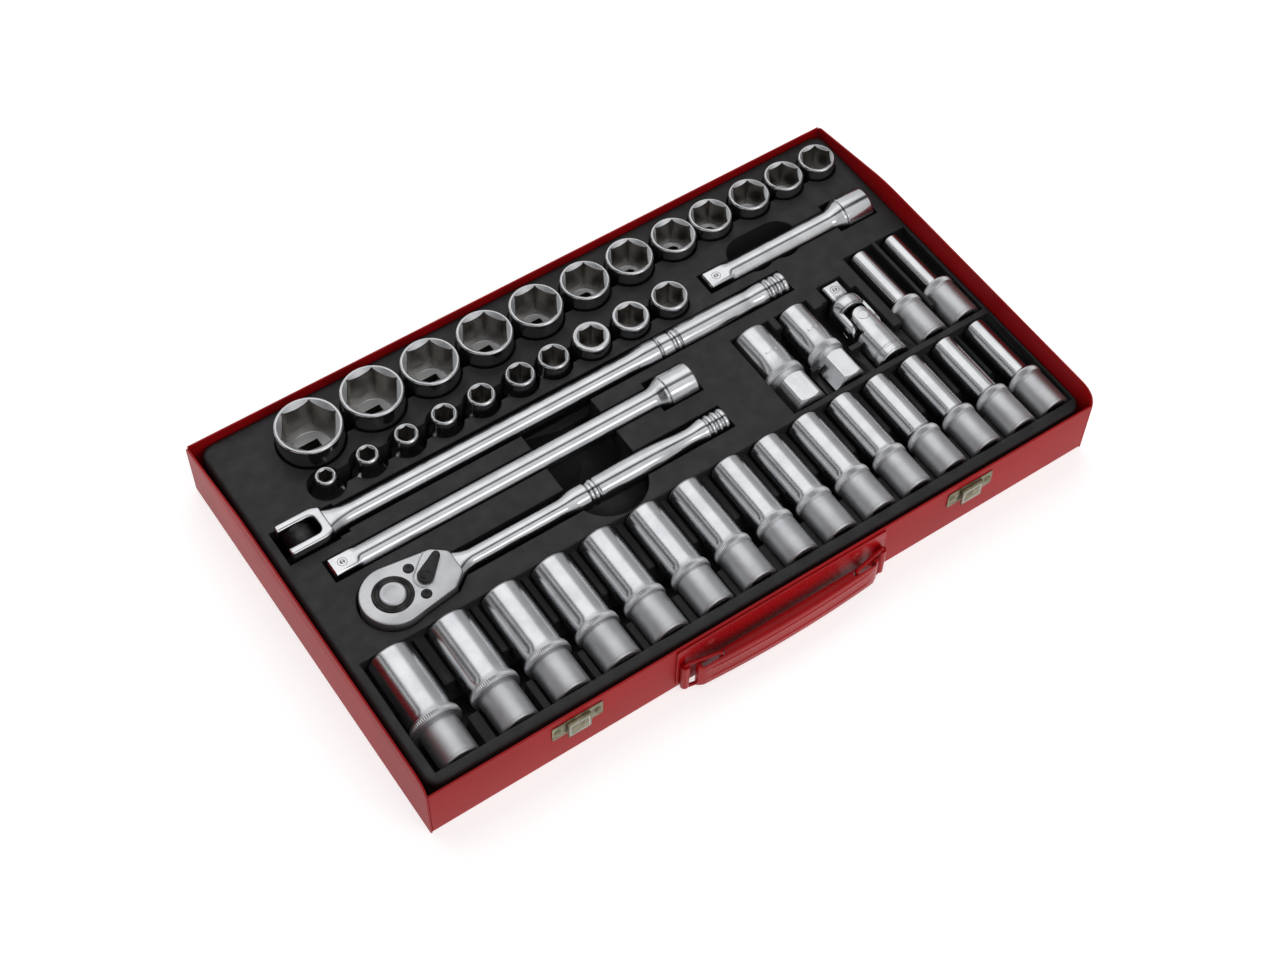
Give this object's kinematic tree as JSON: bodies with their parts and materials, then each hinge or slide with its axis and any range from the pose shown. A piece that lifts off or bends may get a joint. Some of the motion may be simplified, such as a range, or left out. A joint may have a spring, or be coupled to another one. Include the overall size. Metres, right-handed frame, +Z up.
{
  "type": "socket wrench set in case",
  "caption": "Half-inch drive ratchet, sockets, deep sockets, bars and joint, each in its moulded pocket of a shallow steel carrying case with a front handle.",
  "frame": {"origin": "centre of the case's flat bottom, which rests on a surface", "axes": "+Z up out of the case, +X along the case's length with the ratchet's head at the -X end, -Y towards the carrying handle and catches"},
  "size_m": [0.475, 0.2921, 0.0545],
  "materials": {
    "case_steel": "semi-gloss powder coat",
    "handle_steel": "gloss enamel",
    "catch_steel": "zinc plated, yellow passivated",
    "rivet_steel": "zinc plated",
    "tray_plastic": "fine moulded grain",
    "socket_chrome": "satin chrome",
    "bar_chrome": "polished chrome",
    "ratchet_chrome": "satin chrome",
    "black_oxide": "black phosphate",
    "black_plastic": "moulded"
  },
  "bodies": {
    "root": {"case_shell": "case_steel", "tool_tray": "tray_plastic", "handle_plate": "handle_steel", "catch_plates": "catch_steel", "rivets": "rivet_steel"},
    "handle_grip": {"handle_grip": "handle_steel"},
    "handle_link_left": {"handle_link_left": "handle_steel"},
    "handle_link_right": {"handle_link_right": "handle_steel"},
    "socket_08": {"socket_08": "socket_chrome"},
    "socket_09": {"socket_09": "socket_chrome"},
    "socket_10": {"socket_10": "socket_chrome"},
    "socket_11": {"socket_11": "socket_chrome"},
    "socket_12": {"socket_12": "socket_chrome"},
    "socket_13": {"socket_13": "socket_chrome"},
    "socket_14": {"socket_14": "socket_chrome"},
    "socket_15": {"socket_15": "socket_chrome"},
    "socket_16": {"socket_16": "socket_chrome"},
    "socket_17": {"socket_17": "socket_chrome"},
    "socket_18": {"socket_18": "socket_chrome"},
    "socket_19": {"socket_19": "socket_chrome"},
    "socket_20": {"socket_20": "socket_chrome"},
    "socket_21": {"socket_21": "socket_chrome"},
    "socket_22": {"socket_22": "socket_chrome"},
    "socket_23": {"socket_23": "socket_chrome"},
    "socket_24": {"socket_24": "socket_chrome"},
    "socket_26": {"socket_26": "socket_chrome"},
    "socket_27": {"socket_27": "socket_chrome"},
    "socket_28": {"socket_28": "socket_chrome"},
    "socket_30": {"socket_30": "socket_chrome"},
    "socket_32": {"socket_32": "socket_chrome"},
    "deep_socket_08": {"deep_socket_08": "socket_chrome"},
    "deep_socket_09": {"deep_socket_09": "socket_chrome"},
    "deep_socket_10": {"deep_socket_10": "socket_chrome"},
    "deep_socket_11": {"deep_socket_11": "socket_chrome"},
    "deep_socket_12": {"deep_socket_12": "socket_chrome"},
    "deep_socket_13": {"deep_socket_13": "socket_chrome"},
    "deep_socket_14": {"deep_socket_14": "socket_chrome"},
    "deep_socket_15": {"deep_socket_15": "socket_chrome"},
    "deep_socket_16": {"deep_socket_16": "socket_chrome"},
    "deep_socket_17": {"deep_socket_17": "socket_chrome"},
    "deep_socket_18": {"deep_socket_18": "socket_chrome"},
    "deep_socket_19": {"deep_socket_19": "socket_chrome"},
    "deep_socket_20": {"deep_socket_20": "socket_chrome"},
    "deep_socket_21": {"deep_socket_21": "socket_chrome"},
    "deep_socket_22": {"deep_socket_22": "socket_chrome"},
    "deep_socket_23": {"deep_socket_23": "socket_chrome"},
    "deep_socket_24": {"deep_socket_24": "socket_chrome"},
    "spark_plug_socket_21": {"spark_plug_socket_21": "socket_chrome"},
    "spark_plug_socket_16": {"spark_plug_socket_16": "socket_chrome"},
    "extension_bar_long": {"extension_bar_long": "bar_chrome"},
    "extension_bar_short": {"extension_bar_short": "bar_chrome"},
    "ratchet": {"ratchet_body": "ratchet_chrome"},
    "ratchet_drive": {"ratchet_drive": "black_oxide"},
    "ratchet_button": {"ratchet_button": "ratchet_chrome"},
    "ratchet_lever": {"ratchet_lever": "black_plastic"},
    "breaker_bar": {"breaker_bar": "bar_chrome"},
    "breaker_head": {"breaker_head": "black_oxide"},
    "universal_joint": {"universal_joint_body": "socket_chrome"},
    "universal_joint_cross": {"universal_joint_cross": "black_oxide"},
    "universal_joint_yoke": {"universal_joint_yoke": "socket_chrome"}
  },
  "joints": [
    {"name": "grip_pull", "type": "slide", "parent": "root", "child": "handle_grip", "axis": [0, -1, 0], "range_m": [0, 0.01]},
    {"name": "link_left_swing", "type": "hinge", "parent": "root", "child": "handle_link_left", "pos_m": [-0.0685, -0.1431, 0.0163], "axis": [0, 0, 1], "range_deg": [-28, 0]},
    {"name": "link_right_swing", "type": "hinge", "parent": "root", "child": "handle_link_right", "pos_m": [0.0735, -0.1431, 0.0163], "axis": [0, 0, 1], "range_deg": [0, 28]},
    {"name": "socket_08_lift", "type": "slide", "parent": "root", "child": "socket_08", "axis": [0, 0, 1], "range_m": [0, 0.1]},
    {"name": "socket_09_lift", "type": "slide", "parent": "root", "child": "socket_09", "axis": [0, 0, 1], "range_m": [0, 0.1]},
    {"name": "socket_10_lift", "type": "slide", "parent": "root", "child": "socket_10", "axis": [0, 0, 1], "range_m": [0, 0.1]},
    {"name": "socket_11_lift", "type": "slide", "parent": "root", "child": "socket_11", "axis": [0, 0, 1], "range_m": [0, 0.1]},
    {"name": "socket_12_lift", "type": "slide", "parent": "root", "child": "socket_12", "axis": [0, 0, 1], "range_m": [0, 0.1]},
    {"name": "socket_13_lift", "type": "slide", "parent": "root", "child": "socket_13", "axis": [0, 0, 1], "range_m": [0, 0.1]},
    {"name": "socket_14_lift", "type": "slide", "parent": "root", "child": "socket_14", "axis": [0, 0, 1], "range_m": [0, 0.1]},
    {"name": "socket_15_lift", "type": "slide", "parent": "root", "child": "socket_15", "axis": [0, 0, 1], "range_m": [0, 0.1]},
    {"name": "socket_16_lift", "type": "slide", "parent": "root", "child": "socket_16", "axis": [0, 0, 1], "range_m": [0, 0.1]},
    {"name": "socket_17_lift", "type": "slide", "parent": "root", "child": "socket_17", "axis": [0, 0, 1], "range_m": [0, 0.1]},
    {"name": "socket_18_lift", "type": "slide", "parent": "root", "child": "socket_18", "axis": [0, 0, 1], "range_m": [0, 0.1]},
    {"name": "socket_19_lift", "type": "slide", "parent": "root", "child": "socket_19", "axis": [0, 0, 1], "range_m": [0, 0.1]},
    {"name": "socket_20_lift", "type": "slide", "parent": "root", "child": "socket_20", "axis": [0, 0, 1], "range_m": [0, 0.1]},
    {"name": "socket_21_lift", "type": "slide", "parent": "root", "child": "socket_21", "axis": [0, 0, 1], "range_m": [0, 0.1]},
    {"name": "socket_22_lift", "type": "slide", "parent": "root", "child": "socket_22", "axis": [0, 0, 1], "range_m": [0, 0.1]},
    {"name": "socket_23_lift", "type": "slide", "parent": "root", "child": "socket_23", "axis": [0, 0, 1], "range_m": [0, 0.1]},
    {"name": "socket_24_lift", "type": "slide", "parent": "root", "child": "socket_24", "axis": [0, 0, 1], "range_m": [0, 0.1]},
    {"name": "socket_26_lift", "type": "slide", "parent": "root", "child": "socket_26", "axis": [0, 0, 1], "range_m": [0, 0.1]},
    {"name": "socket_27_lift", "type": "slide", "parent": "root", "child": "socket_27", "axis": [0, 0, 1], "range_m": [0, 0.1]},
    {"name": "socket_28_lift", "type": "slide", "parent": "root", "child": "socket_28", "axis": [0, 0, 1], "range_m": [0, 0.1]},
    {"name": "socket_30_lift", "type": "slide", "parent": "root", "child": "socket_30", "axis": [0, 0, 1], "range_m": [0, 0.1]},
    {"name": "socket_32_lift", "type": "slide", "parent": "root", "child": "socket_32", "axis": [0, 0, 1], "range_m": [0, 0.1]},
    {"name": "deep_socket_08_lift", "type": "slide", "parent": "root", "child": "deep_socket_08", "axis": [0, 0, 1], "range_m": [0, 0.1]},
    {"name": "deep_socket_09_lift", "type": "slide", "parent": "root", "child": "deep_socket_09", "axis": [0, 0, 1], "range_m": [0, 0.1]},
    {"name": "deep_socket_10_lift", "type": "slide", "parent": "root", "child": "deep_socket_10", "axis": [0, 0, 1], "range_m": [0, 0.1]},
    {"name": "deep_socket_11_lift", "type": "slide", "parent": "root", "child": "deep_socket_11", "axis": [0, 0, 1], "range_m": [0, 0.1]},
    {"name": "deep_socket_12_lift", "type": "slide", "parent": "root", "child": "deep_socket_12", "axis": [0, 0, 1], "range_m": [0, 0.1]},
    {"name": "deep_socket_13_lift", "type": "slide", "parent": "root", "child": "deep_socket_13", "axis": [0, 0, 1], "range_m": [0, 0.1]},
    {"name": "deep_socket_14_lift", "type": "slide", "parent": "root", "child": "deep_socket_14", "axis": [0, 0, 1], "range_m": [0, 0.1]},
    {"name": "deep_socket_15_lift", "type": "slide", "parent": "root", "child": "deep_socket_15", "axis": [0, 0, 1], "range_m": [0, 0.1]},
    {"name": "deep_socket_16_lift", "type": "slide", "parent": "root", "child": "deep_socket_16", "axis": [0, 0, 1], "range_m": [0, 0.1]},
    {"name": "deep_socket_17_lift", "type": "slide", "parent": "root", "child": "deep_socket_17", "axis": [0, 0, 1], "range_m": [0, 0.1]},
    {"name": "deep_socket_18_lift", "type": "slide", "parent": "root", "child": "deep_socket_18", "axis": [0, 0, 1], "range_m": [0, 0.1]},
    {"name": "deep_socket_19_lift", "type": "slide", "parent": "root", "child": "deep_socket_19", "axis": [0, 0, 1], "range_m": [0, 0.1]},
    {"name": "deep_socket_20_lift", "type": "slide", "parent": "root", "child": "deep_socket_20", "axis": [0, 0, 1], "range_m": [0, 0.1]},
    {"name": "deep_socket_21_lift", "type": "slide", "parent": "root", "child": "deep_socket_21", "axis": [0, 0, 1], "range_m": [0, 0.1]},
    {"name": "deep_socket_22_lift", "type": "slide", "parent": "root", "child": "deep_socket_22", "axis": [0, 0, 1], "range_m": [0, 0.1]},
    {"name": "deep_socket_23_lift", "type": "slide", "parent": "root", "child": "deep_socket_23", "axis": [0, 0, 1], "range_m": [0, 0.1]},
    {"name": "deep_socket_24_lift", "type": "slide", "parent": "root", "child": "deep_socket_24", "axis": [0, 0, 1], "range_m": [0, 0.1]},
    {"name": "spark_plug_socket_21_lift", "type": "slide", "parent": "root", "child": "spark_plug_socket_21", "axis": [0, 0, 1], "range_m": [0, 0.1]},
    {"name": "spark_plug_socket_16_lift", "type": "slide", "parent": "root", "child": "spark_plug_socket_16", "axis": [0, 0, 1], "range_m": [0, 0.1]},
    {"name": "extension_bar_long_lift", "type": "slide", "parent": "root", "child": "extension_bar_long", "axis": [0, 0, 1], "range_m": [0, 0.1]},
    {"name": "extension_bar_short_lift", "type": "slide", "parent": "root", "child": "extension_bar_short", "axis": [0, 0, 1], "range_m": [0, 0.1]},
    {"name": "ratchet_lift", "type": "slide", "parent": "root", "child": "ratchet", "axis": [0, 0, 1], "range_m": [0, 0.1]},
    {"name": "drive_turn", "type": "hinge", "parent": "ratchet", "child": "ratchet_drive", "pos_m": [-0.1864, -0.0182, 0.035], "axis": [0, 0, 1], "continuous": true},
    {"name": "button_press", "type": "slide", "parent": "ratchet_drive", "child": "ratchet_button", "axis": [0, 0, -1], "range_m": [0, 0.0018], "stiffness_N_per_m": 600, "springref_m": -0.0005},
    {"name": "lever_turn", "type": "hinge", "parent": "ratchet", "child": "ratchet_lever", "pos_m": [-0.1646, -0.0182, 0.043], "axis": [0, 0, 1], "range_deg": [-72, 0]},
    {"name": "breaker_bar_lift", "type": "slide", "parent": "root", "child": "breaker_bar", "axis": [0, 0, 1], "range_m": [0, 0.15]},
    {"name": "head_swing", "type": "hinge", "parent": "breaker_bar", "child": "breaker_head", "pos_m": [-0.2105, 0.0478, 0.0355], "axis": [0, 1, 0], "range_deg": [0, 91]},
    {"name": "universal_joint_lift", "type": "slide", "parent": "root", "child": "universal_joint", "axis": [0, 0, 1], "range_m": [0, 0.1]},
    {"name": "cross_turn", "type": "hinge", "parent": "universal_joint", "child": "universal_joint_cross", "pos_m": [0.164, -0.0048, 0.0315], "axis": [0, 0, 1], "range_deg": [0, 31]},
    {"name": "yoke_tilt", "type": "hinge", "parent": "universal_joint_cross", "child": "universal_joint_yoke", "pos_m": [0.164, -0.0048, 0.0315], "axis": [1, 0, 0], "range_deg": [0, 20]}
  ],
  "couplings": [
    {"joint": "link_left_swing", "follows": "grip_pull", "rad_per_m": -48.8},
    {"joint": "link_right_swing", "follows": "grip_pull", "rad_per_m": 48.8},
    {"joint": "head_swing", "follows": "breaker_bar_lift", "rad_per_m": 10.47},
    {"joint": "cross_turn", "follows": "universal_joint_lift", "rad_per_m": 5.236}
  ]
}
